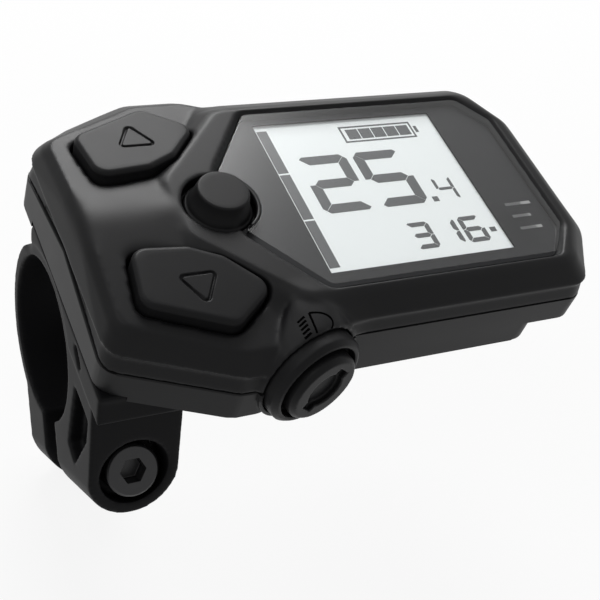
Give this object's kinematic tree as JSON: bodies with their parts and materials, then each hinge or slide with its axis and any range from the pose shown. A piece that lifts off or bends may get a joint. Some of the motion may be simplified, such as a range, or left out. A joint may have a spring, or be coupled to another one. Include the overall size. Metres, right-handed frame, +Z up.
{
  "type": "e-bike display",
  "caption": "Handlebar display and switch unit: flat glass-topped case, two thumb keys, a mode button, a light button and a split clamp underneath.",
  "frame": {"origin": "Centre of the clamp's bore, on the handlebar's axis", "axes": "+X along the handlebar from the clamp towards the display, +Y away from the rider, +Z up, square to the display's glass"},
  "size_m": [0.0713, 0.0489, 0.0501],
  "materials": {
    "case_plastic": "fine moulded texture",
    "clamp_plastic": "fine moulded texture",
    "button_plastic": "satin",
    "black_steel": "black coated",
    "steel": "zinc plated",
    "dark_glass": "dark printed glass, clear over the panel",
    "panel_glass": "satin white",
    "light_guide": "white",
    "black_foam": "adhesive foam",
    "ribbon": "polyimide film",
    "board": "lacquered board",
    "chips": "moulded",
    "seal_rubber": "silicone",
    "socket_plastic": "moulded",
    "gold_brass": "gold plated"
  },
  "bodies": {
    "case": {"upper_case": "case_plastic", "lower_case": "case_plastic", "bottom_cover": "case_plastic", "clamp_bracket": "clamp_plastic", "clamp_bolt": "black_steel", "clamp_nut": "steel", "saddle_screws": "steel", "display_window": "dark_glass", "window_tape": "black_foam", "lcd_panel": "panel_glass", "lcd_frame": "light_guide", "lcd_ribbon": "ribbon", "main_board": "board", "board_parts": "chips", "switch_board": "board", "board_ribbon": "ribbon", "key_switches": "chips", "light_board": "board", "light_switch": "chips", "board_screws": "steel", "case_screws": "steel", "cover_screws": "steel", "case_seal": "seal_rubber", "mode_seal": "seal_rubber", "cable_socket": "socket_plastic", "socket_contacts": "gold_brass", "light_collar": "button_plastic"},
    "up_button_body": {"up_button": "button_plastic"},
    "down_button_body": {"down_button": "button_plastic"},
    "mode_button_body": {"mode_button": "button_plastic"},
    "light_button_body": {"light_button": "button_plastic"}
  },
  "joints": [
    {"name": "up_button_press", "type": "slide", "parent": "case", "child": "up_button_body", "axis": [0, -0.0976, -0.9952], "range_m": [0, 0.001], "stiffness_N_per_m": 1500},
    {"name": "down_button_press", "type": "slide", "parent": "case", "child": "down_button_body", "axis": [0, 0.0976, -0.9952], "range_m": [0, 0.001], "stiffness_N_per_m": 1500},
    {"name": "mode_button_press", "type": "slide", "parent": "case", "child": "mode_button_body", "axis": [0, 0, -1], "range_m": [0, 0.0009], "stiffness_N_per_m": 1500},
    {"name": "light_button_press", "type": "slide", "parent": "case", "child": "light_button_body", "axis": [-0.2585, 0.9646, -0.0523], "range_m": [0, 0.0008], "stiffness_N_per_m": 1500}
  ]
}
